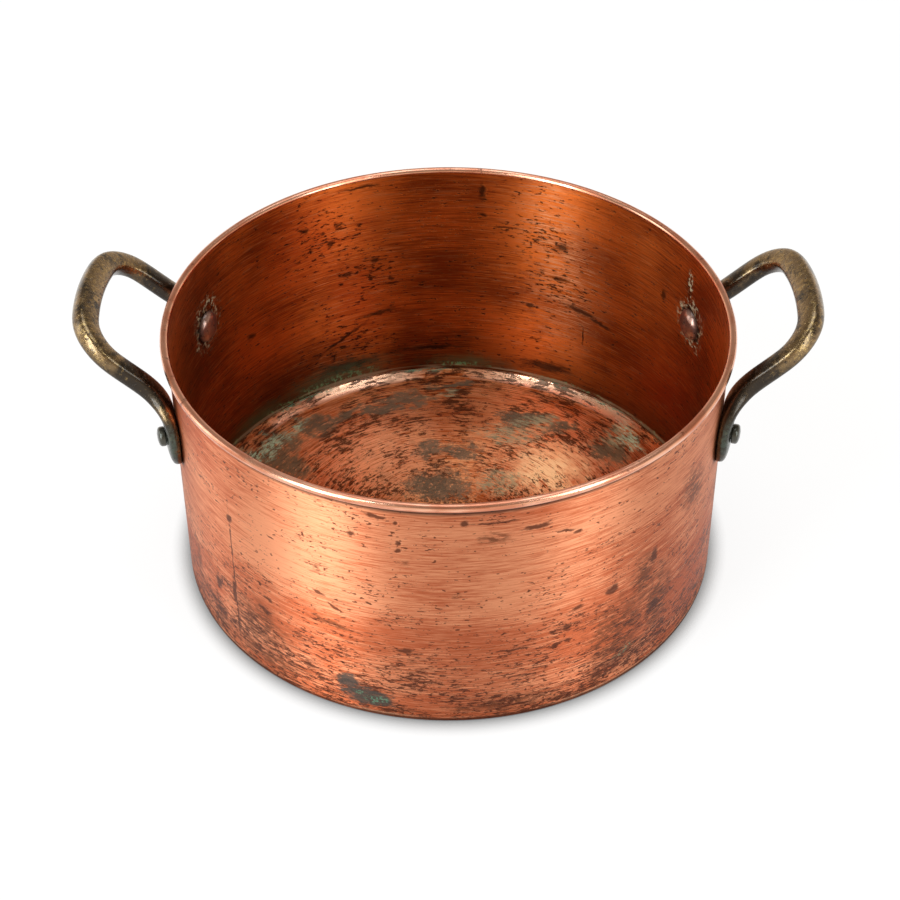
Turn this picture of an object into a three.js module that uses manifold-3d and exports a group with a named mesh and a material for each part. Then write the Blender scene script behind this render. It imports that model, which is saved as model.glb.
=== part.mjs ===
import * as THREE from "three";
import { mergeVertices } from "three/addons/utils/BufferGeometryUtils.js";
import Module from "manifold-3d";

const wasm = await Module();
wasm.setup();

// Two-handled copper pot, millimetres, +Z up, standing on Z = 0 with its axis on the Z axis.
// The handles lie along X.

const gap = 0.3; // clearance between neighbouring pieces
const turnSteps = 96; // flat strips round the pot
const rivetSteps = 16; // flat strips round a rivet

// Pot
const wallInnerRadius = 135.9;
const sheet = 1.0; // side wall copper
const rimTop = 139.0;
const wireRadius = 0.8; // wire inside the rolled rim
const wireGap = 0.25; // between that wire and the sheet rolled round it
const curlEndAngle = -106; // degrees, where the rolled sheet stops under the bead
const wallFoot = 0.4; // height of the wall's lower edge above the ground
const wallFootRound = 0.4;

// Base dish
const baseThickness = 1.5;
const baseCornerRadius = 1.2;
const flangeTop = 5.0; // the dish's turned-up edge, above the ground
const flangeLip = 1.5;
const flangeRound = 0.5;
const coveRun = 8.0; // how far the inside cove reaches in over the floor

// Rivets
const rivetHalfSpan = 45.2; // half the distance between a handle's two rivets
const rivetDrop = 41.6; // below the rim's top
const shankRadius = 2.9;
const innerHeadRadius = 8.4;
const innerHeadHeight = 4.3;
const outerHeadRadius = 4.9;
const outerHeadHeight = 3.2;
const outerHeadChamfer = 0.9;
const outerHeadCrown = 0.5;
const spotMargin = 0.5; // flat seat round the outer head
const spotDepth = 0.25;

// Handle pads
const handleTurn = 3; // degrees, how far both handles sit towards +Y of the middle
const padHalfWidth = 10.4;
const padThickness = 5.9; // over the wall, at the pad's middle
const padUndercut = 1.3; // extra depth that the wall's curve is cut out of
const padFootDrop = 17.2; // below the rivets
const padFootRun = 14.5; // height over which the foot is rounded and thinned
const padFootThinning = 0.42; // share of the pad's thickness that is left at the foot
const padBendRise = 3.1; // above the rivets
const padSquareness = 2.6; // exponent of the rounded-square section

// Handle loop
const loopSlope = 41.3; // degrees above level
const loopRootOut = 3.0; // from the wall to the legs' root line
const loopRootRise = 21.3; // above the rivets
const loopReach = 46.1; // along the slope, from the root line to the grip's middle
const legInset = 6.6; // how far the legs stand inside the rivets
const legTaper = 0.2; // further inset at the grip
const legHalfWidth = 5.3;
const legHalfThickness = 5.0;
const legSquareness = 3.0;
const bendRun = 7.5; // along the slope, where the bend has become the straight leg
const bendPull = 11; // length of the bend's control handles
const cornerRun = 16.5;
const cornerFullness = 0.58; // control handle as a share of the corner's run
const gripBow = 6.2;
const gripHalfWidth = 6.6;
const gripHalfThickness = 5.0;

// Places that follow from the sizes above
const degree = Math.PI / 180;
const wallOuterRadius = wallInnerRadius + sheet;
const curlInside = wireRadius + wireGap;
const beadRadius = curlInside + sheet;
const beadCentreRadius = wallInnerRadius + beadRadius;
const beadCentreHeight = rimTop - beadRadius;
const baseOuterRadius = wallInnerRadius - gap;
const rivetHeight = rimTop - rivetDrop;
const padHalfThickness = (padThickness + padUndercut) / 2;
const padCentreRadius = wallOuterRadius + gap + padThickness - padHalfThickness;
const rivetAngle = Math.asin(rivetHalfSpan / padCentreRadius) / degree;
const headSeat = wallOuterRadius + gap + padThickness - spotDepth;
const rootHalfSpan = rivetHalfSpan - legInset;
const gripHalfSpan = rootHalfSpan - legTaper;

// Materials
const copper = new THREE.MeshStandardMaterial({
  color: 0xc4693f,
  roughness: 0.35,
  metalness: 1.0,
});
const darkBrass = new THREE.MeshStandardMaterial({
  color: 0x6e5a38,
  roughness: 0.45,
  metalness: 1.0,
});
const rivetMetal = new THREE.MeshStandardMaterial({
  color: 0x8a6a58,
  roughness: 0.45,
  metalness: 1.0,
});

// Solids and booleans
function solidOf(geometry) {
  const bare = geometry.index ? geometry.toNonIndexed() : geometry.clone();
  bare.deleteAttribute("normal");
  bare.deleteAttribute("uv");
  const merged = mergeVertices(bare, 1e-4);
  return new wasm.Manifold(
    new wasm.Mesh({
      numProp: 3,
      vertProperties: merged.attributes.position.array,
      triVerts: new Uint32Array(merged.index.array),
    }),
  );
}

function geometryOf(solid) {
  const mesh = solid.getMesh();
  const geometry = new THREE.BufferGeometry();
  const places = new Float32Array(mesh.numVert * 3);
  for (let i = 0; i < mesh.numVert; i++) {
    for (let k = 0; k < 3; k++) {
      places[i * 3 + k] = mesh.vertProperties[i * mesh.numProp + k];
    }
  }
  geometry.setAttribute("position", new THREE.BufferAttribute(places, 3));
  geometry.setIndex(Array.from(mesh.triVerts));
  geometry.computeVertexNormals();
  return geometry;
}

// A profile of [radius, height] pairs turned round the Z axis
function turned(profile, steps = turnSteps) {
  const points = profile.map(([r, z]) => new THREE.Vector2(r, z));
  return new THREE.LatheGeometry(points, steps).rotateX(Math.PI / 2);
}

function arc(cx, cy, radius, from, to, steps) {
  const points = [];
  for (let i = 0; i <= steps; i++) {
    const a = (from + ((to - from) * i) / steps) * degree;
    points.push([cx + radius * Math.cos(a), cy + radius * Math.sin(a)]);
  }
  return points;
}

// A full cylinder round the pot's axis, as tall as the pot
function potCylinder(radius) {
  return solidOf(turned([[0, 0], [radius, 0], [radius, rimTop], [0, rimTop]]));
}

// A profile turned round its own axis, laid along the pot's radius at the rivets' height
function laidOutward(profile, angle) {
  const geometry = turned(profile, rivetSteps).rotateY(Math.PI / 2);
  geometry.rotateZ(angle * degree);
  geometry.translate(0, 0, rivetHeight);
  return solidOf(geometry);
}

function plug(radius, from, to, angle) {
  return laidOutward([[0, from], [radius, from], [radius, to], [0, to]], angle);
}

// Side wall, its top rolled outward over the rim wire
function wallSolid() {
  const footCentre = wallFoot + wallFootRound;
  return solidOf(
    turned([
      [wallInnerRadius, wallFoot],
      ...arc(wallOuterRadius - wallFootRound, footCentre, wallFootRound, -90, 0, 2),
      ...arc(beadCentreRadius, beadCentreHeight, curlInside, 180, curlEndAngle, 6),
      ...arc(beadCentreRadius, beadCentreHeight, beadRadius, curlEndAngle, 180, 10),
      [wallInnerRadius, wallFoot],
    ]),
  );
}

function rimWire() {
  return turned(arc(beadCentreRadius, beadCentreHeight, wireRadius, -180, 180, 6));
}

// Base dish: a disc with a low turned-up edge inside the wall and a shallow cove
function baseDish() {
  const coveRise = flangeTop - baseThickness;
  const coveRadius = (coveRun ** 2 + coveRise ** 2) / (2 * coveRise);
  const coveSweep = Math.asin(coveRun / coveRadius) / degree;
  const coveFoot = baseOuterRadius - flangeLip - coveRun;
  const cornerAt = baseOuterRadius - baseCornerRadius;
  const roundAt = baseOuterRadius - flangeRound;
  return turned([
    [0, 0],
    ...arc(cornerAt, baseCornerRadius, baseCornerRadius, -90, 0, 2),
    ...arc(roundAt, flangeTop - flangeRound, flangeRound, 0, 90, 2),
    ...arc(coveFoot, baseThickness + coveRadius, coveRadius, coveSweep - 90, -90, 5),
    [0, baseThickness],
  ]);
}

// Middle line and sections of half a handle, from the pad's foot on the +Y side to the grip's middle
function halfHandle() {
  const slope = loopSlope * degree;
  const rootX = wallOuterRadius + loopRootOut;
  const rootZ = rivetHeight + loopRootRise;
  const up = new THREE.Vector3(0, 0, 1);
  const radial = new THREE.Vector3(Math.cos(rivetAngle * degree), Math.sin(rivetAngle * degree), 0);
  const padMiddle = radial.clone().multiplyScalar(padCentreRadius);
  const loopNormal = new THREE.Vector3(Math.sin(slope), 0, -Math.cos(slope));
  const slopeVector = (t, v) => new THREE.Vector3(t * Math.cos(slope), v, t * Math.sin(slope));
  const inLoop = (t, v) => slopeVector(t, v).add(new THREE.Vector3(rootX, 0, rootZ));
  const blend = (a, b, k) => a + (b - a) * k;
  const ease = (k) => k * k * (3 - 2 * k);

  // Straight leg, and the grip bowed between the two corners
  const leg = new THREE.Vector2(loopReach - gripBow, gripHalfSpan - rootHalfSpan).normalize();
  const legPoint = (t) => inLoop(t, rootHalfSpan + (t * leg.y) / leg.x);
  const legDirection = slopeVector(leg.x, leg.y);
  const gripReach = (v) => loopReach - gripBow * (v / gripHalfSpan) ** 2;
  const gripLean = (v) => new THREE.Vector2((2 * gripBow * v) / gripHalfSpan ** 2, -1).normalize();

  const bendFinish = legPoint(bendRun);
  const bend = new THREE.CubicBezierCurve3(
    padMiddle.clone().setZ(rivetHeight + padBendRise),
    padMiddle.clone().setZ(rivetHeight + padBendRise + bendPull),
    bendFinish.clone().addScaledVector(legDirection, -bendPull),
    bendFinish,
  );
  const pull = cornerRun * cornerFullness;
  const cornerT = loopReach - gripBow - leg.x * cornerRun;
  const cornerV = gripHalfSpan - leg.y * cornerRun;
  const gripV = gripHalfSpan - cornerRun;
  const lean = gripLean(gripV);
  const corner = new THREE.CubicBezierCurve3(
    inLoop(cornerT, cornerV),
    inLoop(cornerT + leg.x * pull, cornerV + leg.y * pull),
    inLoop(gripReach(gripV) - lean.x * pull, gripV - lean.y * pull),
    inLoop(gripReach(gripV), gripV),
  );

  const stations = [];
  const add = (place, along, guide, width, thickness, power) => {
    stations.push({ place, along, guide, width, thickness, power });
  };

  // Pad with a rounded foot that thins towards the wall
  const footSteps = 6;
  const footStart = 0.35; // share of a step, so that the first section has a width
  for (let i = 0; i <= footSteps; i++) {
    const a = ((90 * (i + footStart)) / (footSteps + footStart)) * degree;
    const rise = padFootRun * (1 - Math.cos(a));
    const thickness = padHalfThickness * blend(padFootThinning, 1, Math.sin(a));
    const middle = radial.clone().multiplyScalar(padCentreRadius - padHalfThickness + thickness);
    add(
      middle.setZ(rivetHeight - padFootDrop + rise),
      up,
      radial,
      padHalfWidth * Math.sin(a),
      thickness,
      padSquareness,
    );
  }
  add(bend.getPoint(0), up, radial, padHalfWidth, padHalfThickness, padSquareness);

  // Bend from the pad out into the leg
  const bendSteps = 10;
  for (let i = 1; i <= bendSteps; i++) {
    const k = i / bendSteps;
    add(
      bend.getPoint(k),
      bend.getTangent(k),
      radial.clone().lerp(loopNormal, ease(k)),
      blend(padHalfWidth, legHalfWidth, ease(Math.min(1, k * 1.15))),
      blend(padHalfThickness, legHalfThickness, ease(k)),
      blend(padSquareness, legSquareness, k),
    );
  }

  const legSteps = 3;
  for (let i = 1; i <= legSteps; i++) {
    const t = blend(bendRun, cornerT, i / (legSteps + 1));
    add(legPoint(t), legDirection, loopNormal, legHalfWidth, legHalfThickness, legSquareness);
  }
  const cornerSteps = 9;
  for (let i = 0; i <= cornerSteps; i++) {
    const k = i / cornerSteps;
    add(
      corner.getPoint(k),
      corner.getTangent(k),
      loopNormal,
      blend(legHalfWidth, gripHalfWidth, ease(k)),
      blend(legHalfThickness, gripHalfThickness, ease(k)),
      legSquareness,
    );
  }
  const gripSteps = 3;
  for (let i = 1; i <= gripSteps; i++) {
    const v = gripV * (1 - i / gripSteps);
    const along = slopeVector(gripLean(v).x, gripLean(v).y);
    add(inLoop(gripReach(v), v), along, loopNormal, gripHalfWidth, gripHalfThickness, legSquareness);
  }
  return stations;
}

// The other half is the first one mirrored in the plane Y = 0
function wholeHandle() {
  const half = halfHandle();
  const flip = (v) => new THREE.Vector3(v.x, -v.y, v.z);
  const otherHalf = half
    .slice(0, -1)
    .reverse()
    .map((s) => ({ ...s, place: flip(s.place), along: flip(s.along).negate(), guide: flip(s.guide) }));
  return [...half, ...otherHalf];
}

// A closed skin over rounded-square sections
function lofted(stations, around = 16) {
  const places = [];
  for (const s of stations) {
    const across = new THREE.Vector3().crossVectors(s.along, s.guide).normalize();
    const out = new THREE.Vector3().crossVectors(across, s.along).normalize();
    for (let j = 0; j < around; j++) {
      const a = (2 * Math.PI * (j + 0.5)) / around;
      const c = Math.cos(a);
      const d = Math.sin(a);
      const x = Math.sign(c) * Math.abs(c) ** (2 / s.power) * s.width;
      const y = Math.sign(d) * Math.abs(d) ** (2 / s.power) * s.thickness;
      const p = s.place.clone().addScaledVector(across, x).addScaledVector(out, y);
      places.push(p.x, p.y, p.z);
    }
  }
  const index = [];
  const rings = stations.length;
  for (let i = 0; i < rings - 1; i++) {
    for (let j = 0; j < around; j++) {
      const a = i * around + j;
      const b = i * around + ((j + 1) % around);
      index.push(a, b + around, b, a, a + around, b + around);
    }
  }
  for (const ring of [0, rings - 1]) {
    const hub = places.length / 3;
    const middle = stations[ring].place;
    places.push(middle.x, middle.y, middle.z);
    for (let j = 0; j < around; j++) {
      const a = ring * around + j;
      const b = ring * around + ((j + 1) % around);
      index.push(...(ring === 0 ? [hub, a, b] : [hub, b, a]));
    }
  }
  const geometry = new THREE.BufferGeometry();
  geometry.setAttribute("position", new THREE.Float32BufferAttribute(places, 3));
  geometry.setIndex(index);
  return geometry;
}

// Handle: its pads are cut to the wall's curve, drilled for the shanks and spot-faced for the heads
function handle(side) {
  const beyond = headSeat + outerHeadHeight + padHalfWidth;
  let bar = solidOf(lofted(wholeHandle())).subtract(potCylinder(wallOuterRadius + gap));
  for (const angle of [rivetAngle, -rivetAngle]) {
    bar = bar.subtract(plug(shankRadius + gap, wallInnerRadius, beyond, angle));
    bar = bar.subtract(plug(outerHeadRadius + spotMargin, headSeat, beyond, angle));
  }
  const turn = side > 0 ? handleTurn : 180 - handleTurn;
  return geometryOf(bar).rotateZ(turn * degree);
}

// Rivet: domed head against the wall's inside, shank, flat-topped head on the pad
function rivet(angle) {
  const domeTop = wallInnerRadius - gap - innerHeadHeight;
  const dome = [[0, domeTop]];
  for (const [x, y] of arc(0, 0, 1, 90, 0, 5).slice(1)) {
    dome.push([innerHeadRadius * x, domeTop + innerHeadHeight * (1 - y)]);
  }
  dome.push([innerHeadRadius, wallOuterRadius], [0, wallOuterRadius]);
  const innerHead = laidOutward(dome, angle).intersect(potCylinder(wallInnerRadius - gap));

  const headFoot = headSeat + gap;
  const headTop = headFoot + outerHeadHeight;
  const outerHead = laidOutward(
    [
      [0, headFoot],
      [outerHeadRadius, headFoot],
      [outerHeadRadius, headTop - outerHeadChamfer],
      [outerHeadRadius - outerHeadChamfer, headTop],
      [outerHeadRadius * 0.4, headTop + outerHeadCrown],
      [0, headTop + outerHeadCrown],
    ],
    angle,
  );
  const shank = plug(shankRadius, domeTop + innerHeadHeight / 2, headFoot + outerHeadHeight / 2, angle);
  return geometryOf(innerHead.add(shank).add(outerHead));
}

const rivets = [
  ["rivet_right_back", handleTurn + rivetAngle],
  ["rivet_left_back", 180 - handleTurn - rivetAngle],
  ["rivet_left_front", 180 - handleTurn + rivetAngle],
  ["rivet_right_front", handleTurn - rivetAngle],
];

let wall = wallSolid();
for (const [, angle] of rivets) {
  wall = wall.subtract(plug(shankRadius + gap, wallInnerRadius / 2, headSeat, angle));
}

// The pot
const stockpot = new THREE.Group();
stockpot.name = "copper_stockpot";

function place(name, geometry, material) {
  const mesh = new THREE.Mesh(geometry, material);
  mesh.name = name;
  stockpot.add(mesh);
}

place("side_wall", geometryOf(wall), copper);
place("rim_wire", rimWire(), copper);
place("base_plate", baseDish(), copper);
place("handle_right", handle(1), darkBrass);
place("handle_left", handle(-1), darkBrass);
for (const [name, angle] of rivets) {
  place(name, rivet(angle), rivetMetal);
}

export default stockpot;
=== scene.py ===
import math

import bpy
from mathutils import Matrix, Vector


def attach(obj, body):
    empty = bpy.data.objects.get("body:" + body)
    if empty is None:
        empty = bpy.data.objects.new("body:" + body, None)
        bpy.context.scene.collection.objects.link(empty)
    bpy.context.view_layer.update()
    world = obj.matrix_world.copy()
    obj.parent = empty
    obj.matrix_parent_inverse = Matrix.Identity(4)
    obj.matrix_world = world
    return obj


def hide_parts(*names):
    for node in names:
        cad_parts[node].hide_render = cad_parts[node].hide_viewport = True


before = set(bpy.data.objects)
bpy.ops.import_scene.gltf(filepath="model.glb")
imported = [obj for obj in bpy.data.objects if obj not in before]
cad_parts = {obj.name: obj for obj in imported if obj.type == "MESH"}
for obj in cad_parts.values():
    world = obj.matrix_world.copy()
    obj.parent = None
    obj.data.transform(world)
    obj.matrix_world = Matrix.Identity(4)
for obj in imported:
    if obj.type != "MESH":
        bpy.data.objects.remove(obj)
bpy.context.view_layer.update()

MM = 0.001

# Pot, in millimetres
WALL_INNER = 135.9
SHEET = 1.0
RIM_TOP = 139.0
BEAD_RADIUS = 2.05
CURL_END = -106
WALL_FOOT = 0.4
FOOT_ROUND = 0.4
GAP = 0.3
BASE_THICKNESS = 1.5
BASE_CORNER = 1.2
FLANGE_TOP = 5.0
FLANGE_LIP = 1.5
FLANGE_ROUND = 0.5
COVE_RUN = 8.0
TURN_STEPS = 360  # flat strips round the pot
POT_CREASE = 35  # degrees, the edges that stay sharp on turned pieces

# Rivets
RIVET_HALF_SPAN = 45.2
RIVET_HEIGHT = 97.4
INNER_HEAD_RADIUS = 8.4
INNER_HEAD_HEIGHT = 4.3
OUTER_HEAD_RADIUS = 4.9
OUTER_HEAD_HEIGHT = 3.2
OUTER_HEAD_CROWN = 0.5
SHANK_RADIUS = 2.9
DOME_EDGE = (0.2, 0.1)  # inward and up, at the inner head's foot
OUTER_HEAD_FOOT = (0.3, 0.4)  # chamfer, inward and up
OUTER_HEAD_EDGE = ((0, 1.2), (0.35, 0.5), (1.1, 0))  # inward and below its top
RIVET_STEPS = 48

# Handles
HANDLE_TURN = 3
PAD_HALF_WIDTH = 10.4
PAD_THICKNESS = 5.9
PAD_UNDERCUT = 1.3
PAD_FOOT = 80.2
PAD_FOOT_RUN = 14.5
PAD_FOOT_THINNING = 0.42
PAD_BEND_START = 100.5
BEND_RUN = 7.5  # along the slope, where the bend has become the straight leg
BEND_PULL = 11  # length of the bend's control handles
LOOP_SLOPE = 41.3
LOOP_ROOT = (139.9, 118.7)
LOOP_REACH = 46.1
ROOT_HALF_SPAN = 38.6
GRIP_HALF_SPAN = 38.4
LEG_HALF_WIDTH = 5.3
LEG_HALF_THICKNESS = 5.0
CORNER_RUN = 16.5
CORNER_FULLNESS = 0.58  # control handle as a share of the corner's run
GRIP_BOW = 6.2
GRIP_HALF_WIDTH = 6.6
GRIP_HALF_THICKNESS = 5.0
SPOT_MARGIN = 0.5
SPOT_DEPTH = 0.25
SPOT_CUTTER = 10  # length of the tool that mills the flat seat
SECTION_STEPS = 12
SECTION_POWER = 0.66  # below 1, it squares off the bar's round section
SMOOTH_LEVELS = 3
HANDLE_CREASE = 50  # degrees

WALL_OUTER = WALL_INNER + SHEET
BEAD_CENTRE = (WALL_INNER + BEAD_RADIUS, RIM_TOP - BEAD_RADIUS)
BASE_OUTER = WALL_INNER - GAP
PAD_HALF_THICKNESS = (PAD_THICKNESS + PAD_UNDERCUT) / 2
PAD_CENTRE = WALL_OUTER + GAP + PAD_THICKNESS - PAD_HALF_THICKNESS
RIVET_ANGLE = math.asin(RIVET_HALF_SPAN / PAD_CENTRE)
HEAD_SEAT = WALL_OUTER + GAP + PAD_THICKNESS - SPOT_DEPTH


# Modelling by hand
def start_fresh():
    """Leaves edit mode with nothing selected."""
    if bpy.context.object and bpy.context.object.mode == "EDIT":
        bpy.ops.object.mode_set(mode="OBJECT")
    bpy.ops.object.select_all(action="DESELECT")


def settle(piece, name):
    """Leaves the piece at the origin, unturned and unscaled, under its own name."""
    bpy.ops.object.mode_set(mode="OBJECT")
    bpy.ops.object.select_all(action="DESELECT")
    piece.select_set(True)
    bpy.context.view_layer.objects.active = piece
    bpy.ops.object.transform_apply(location=True, rotation=True, scale=True)
    piece.name = name
    piece.data.name = name
    return piece


def arc(cx, cy, radius, start, end, steps):
    """Points on an arc from one angle in degrees to another."""
    angles = [math.radians(start + (end - start) * i / steps) for i in range(steps + 1)]
    return [(cx + radius * math.cos(a), cy + radius * math.sin(a)) for a in angles]


def turned(name, profile, steps=TURN_STEPS):
    """Draws the profile of (radius, height) points and spins it round Z."""
    start_fresh()
    bpy.ops.mesh.primitive_plane_add(size=MM, location=(profile[0][0] * MM, 0, profile[0][1] * MM))
    piece = bpy.context.object
    bpy.ops.object.mode_set(mode="EDIT")
    bpy.ops.mesh.select_mode(type="VERT")
    bpy.ops.mesh.select_all(action="SELECT")
    bpy.ops.mesh.merge(type="CENTER")
    for (r0, z0), (r1, z1) in zip(profile, profile[1:]):
        step = ((r1 - r0) * MM, 0, (z1 - z0) * MM)
        bpy.ops.mesh.extrude_region_move(TRANSFORM_OT_translate={"value": step})
    bpy.ops.mesh.select_all(action="SELECT")
    bpy.ops.mesh.spin(steps=steps, angle=2 * math.pi, center=(0, 0, 0), axis=(0, 0, 1))
    bpy.ops.mesh.select_all(action="SELECT")
    bpy.ops.mesh.remove_doubles(threshold=1e-6)
    bpy.ops.mesh.normals_make_consistent(inside=False)
    settle(piece, name)
    bpy.ops.object.shade_smooth_by_angle(angle=math.radians(POT_CREASE))
    return piece


def lay_outward(piece, angle, height):
    """Turns a piece that stands on Z so that it points away from the pot's axis."""
    upright = Matrix.Rotation(math.radians(90), 4, "Y")
    piece.matrix_world = (
        Matrix.Translation((0, 0, height * MM)) @ Matrix.Rotation(angle, 4, "Z") @ upright
    )
    return settle(piece, piece.name)


def cut_away(piece, cutter):
    """Cuts the cutter's shape out of the piece and removes the cutter."""
    start_fresh()
    bpy.context.view_layer.objects.active = piece
    cut = piece.modifiers.new("cut", "BOOLEAN")
    cut.operation = "DIFFERENCE"
    cut.solver = "EXACT"
    cut.object = cutter
    bpy.ops.object.modifier_apply(modifier=cut.name)
    bpy.data.objects.remove(cutter)


def make_wall():
    """The side wall, its top rolled outward over the rim wire."""
    foot = WALL_FOOT + FOOT_ROUND
    bead_r, bead_z = BEAD_CENTRE
    risers = [bead_z * k / 24 for k in range(1, 24)]
    inside = [(WALL_INNER, z) for z in reversed(risers)]
    outside = [(WALL_OUTER, z) for z in risers]
    profile = [
        (WALL_INNER, WALL_FOOT),
        *arc(WALL_OUTER - FOOT_ROUND, foot, FOOT_ROUND, -90, 0, 4),
        *outside,
        *arc(bead_r, bead_z, BEAD_RADIUS - SHEET, 180, CURL_END, 14),
        *arc(bead_r, bead_z, BEAD_RADIUS, CURL_END, 180, 26),
        *inside,
        (WALL_INNER, WALL_FOOT),
    ]
    return turned("pot_wall", profile)


def make_base():
    """The base dish: flat underneath, with a cove that rises to its turned-up edge."""
    rise = FLANGE_TOP - BASE_THICKNESS
    radius = (COVE_RUN**2 + rise**2) / (2 * rise)
    sweep = math.degrees(math.asin(COVE_RUN / radius))
    foot = BASE_OUTER - FLANGE_LIP - COVE_RUN
    profile = [
        (0, 0),
        (60, 0),
        (120, 0),
        *arc(BASE_OUTER - BASE_CORNER, BASE_CORNER, BASE_CORNER, -90, 0, 6),
        *arc(BASE_OUTER - FLANGE_ROUND, FLANGE_TOP - FLANGE_ROUND, FLANGE_ROUND, 0, 90, 5),
        *arc(foot, BASE_THICKNESS + radius, radius, sweep - 90, -90, 12),
        (90, BASE_THICKNESS),
        (45, BASE_THICKNESS),
        (0, BASE_THICKNESS),
    ]
    return turned("pot_base", profile)


def make_rivet(name, angle):
    """Domed inner head, shank and flat-topped outer head in one, turned along Z, then laid out."""
    dome_top = WALL_INNER - GAP - INNER_HEAD_HEIGHT
    head_foot = HEAD_SEAT + GAP
    head_top = head_foot + OUTER_HEAD_HEIGHT
    dome = [
        (INNER_HEAD_RADIUS * math.sin(a), dome_top + INNER_HEAD_HEIGHT * (1 - math.cos(a)))
        for a in (math.radians(90 * k / 10) for k in range(1, 11))
    ]
    profile = [
        (0, dome_top),
        *dome,
        (INNER_HEAD_RADIUS - DOME_EDGE[0], WALL_INNER - GAP + DOME_EDGE[1]),
        (SHANK_RADIUS, WALL_INNER - GAP),
        (SHANK_RADIUS, head_foot),
        (OUTER_HEAD_RADIUS - OUTER_HEAD_FOOT[0], head_foot),
        (OUTER_HEAD_RADIUS, head_foot + OUTER_HEAD_FOOT[1]),
        *[(OUTER_HEAD_RADIUS - inward, head_top - painted_underside_shade) for inward, painted_underside_shade in OUTER_HEAD_EDGE],
        (OUTER_HEAD_RADIUS * 0.4, head_top + OUTER_HEAD_CROWN * 0.9),
        (0, head_top + OUTER_HEAD_CROWN),
    ]
    piece = turned(name, profile, RIVET_STEPS)
    return lay_outward(piece, angle, RIVET_HEIGHT)


# Handle: one bar drawn section by section, from the pad's foot to the middle of the grip
def handle_sections():
    """Middle, direction, thickness direction, half width and half thickness of each section."""
    slope = math.radians(LOOP_SLOPE)

    def along_slope(t, v):
        return Vector((t * math.cos(slope), v, t * math.sin(slope)))

    def in_loop(t, v):
        return along_slope(t, v) + Vector((LOOP_ROOT[0], 0, LOOP_ROOT[1]))

    def bezier(p0, p1, p2, p3, k):
        j = 1 - k
        spot = p0 * j**3 + p1 * 3 * j * j * k + p2 * 3 * j * k * k + p3 * k**3
        run = (p1 - p0) * j * j + (p2 - p1) * 2 * j * k + (p3 - p2) * k * k
        return spot, run.normalized()

    def blend(a, b, k):
        return a + (b - a) * k

    def ease(k):
        return k * k * (3 - 2 * k)

    up = Vector((0, 0, 1))
    radial = Vector((math.cos(RIVET_ANGLE), math.sin(RIVET_ANGLE), 0))
    pad = radial * PAD_CENTRE
    normal = Vector((math.sin(slope), 0, -math.cos(slope)))
    leg = Vector((LOOP_REACH - GRIP_BOW, GRIP_HALF_SPAN - ROOT_HALF_SPAN)).normalized()
    leg_run = along_slope(leg.x, leg.y)

    def leg_point(t):
        return in_loop(t, ROOT_HALF_SPAN + t * leg.y / leg.x)

    def grip_reach(v):
        return LOOP_REACH - GRIP_BOW * (v / GRIP_HALF_SPAN) ** 2

    def grip_lean(v):
        return Vector((2 * GRIP_BOW * v / GRIP_HALF_SPAN**2, -1)).normalized()

    # The pad, from its thinned and rounded foot up to the bend
    sections = []
    for share in (0.12, 0.3, 0.55, 0.8, 1.0):
        a = math.radians(90 * share)
        rise = PAD_FOOT_RUN * (1 - math.cos(a))
        thick = PAD_HALF_THICKNESS * blend(PAD_FOOT_THINNING, 1, math.sin(a))
        spot = radial * (PAD_CENTRE - PAD_HALF_THICKNESS + thick) + up * (PAD_FOOT + rise)
        sections.append((spot, up, radial, PAD_HALF_WIDTH * math.sin(a), thick))
    sections.append((pad + up * PAD_BEND_START, up, radial, PAD_HALF_WIDTH, PAD_HALF_THICKNESS))

    # The bend, where the pad turns into the leg
    bend_end = leg_point(BEND_RUN)
    bend = (
        pad + up * PAD_BEND_START,
        pad + up * (PAD_BEND_START + BEND_PULL),
        bend_end - leg_run * BEND_PULL,
        bend_end,
    )
    # The pad narrows a little sooner than it thins
    for k in (0.2, 0.4, 0.6, 0.8, 1.0):
        spot, run = bezier(*bend, k)
        sections.append(
            (
                spot,
                run,
                radial.lerp(normal, ease(k)),
                blend(PAD_HALF_WIDTH, LEG_HALF_WIDTH, ease(min(1, k * 1.15))),
                blend(PAD_HALF_THICKNESS, LEG_HALF_THICKNESS, ease(k)),
            )
        )
    # The leg, and the corner between it and the grip
    corner_t = LOOP_REACH - GRIP_BOW - leg.x * CORNER_RUN
    corner_v = GRIP_HALF_SPAN - leg.y * CORNER_RUN
    sections.append(
        (leg_point((BEND_RUN + corner_t) / 2), leg_run, normal, LEG_HALF_WIDTH, LEG_HALF_THICKNESS)
    )
    grip_v = GRIP_HALF_SPAN - CORNER_RUN
    lean = grip_lean(grip_v)
    pull = CORNER_RUN * CORNER_FULLNESS
    corner = (
        in_loop(corner_t, corner_v),
        in_loop(corner_t + leg.x * pull, corner_v + leg.y * pull),
        in_loop(grip_reach(grip_v) - lean.x * pull, grip_v - lean.y * pull),
        in_loop(grip_reach(grip_v), grip_v),
    )
    for k in (0, 0.2, 0.4, 0.6, 0.8, 1.0):
        spot, run = bezier(*corner, k)
        sections.append(
            (
                spot,
                run,
                normal,
                blend(LEG_HALF_WIDTH, GRIP_HALF_WIDTH, ease(k)),
                blend(LEG_HALF_THICKNESS, GRIP_HALF_THICKNESS, ease(k)),
            )
        )
    # The bowed grip, to its middle
    for share in (0.66, 0.33, 0):
        v = grip_v * share
        lean = grip_lean(v)
        run = along_slope(lean.x, lean.y)
        sections.append((in_loop(grip_reach(v), v), run, normal, GRIP_HALF_WIDTH, GRIP_HALF_THICKNESS))
    return sections


def section_turn(run, thickness_way):
    """Rotation of a section: X across the bar, Y through its thickness, Z along it."""
    run = run.normalized()
    across = run.cross(thickness_way).normalized()
    through = across.cross(run).normalized()
    return Matrix((across, through, run)).transposed()


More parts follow.
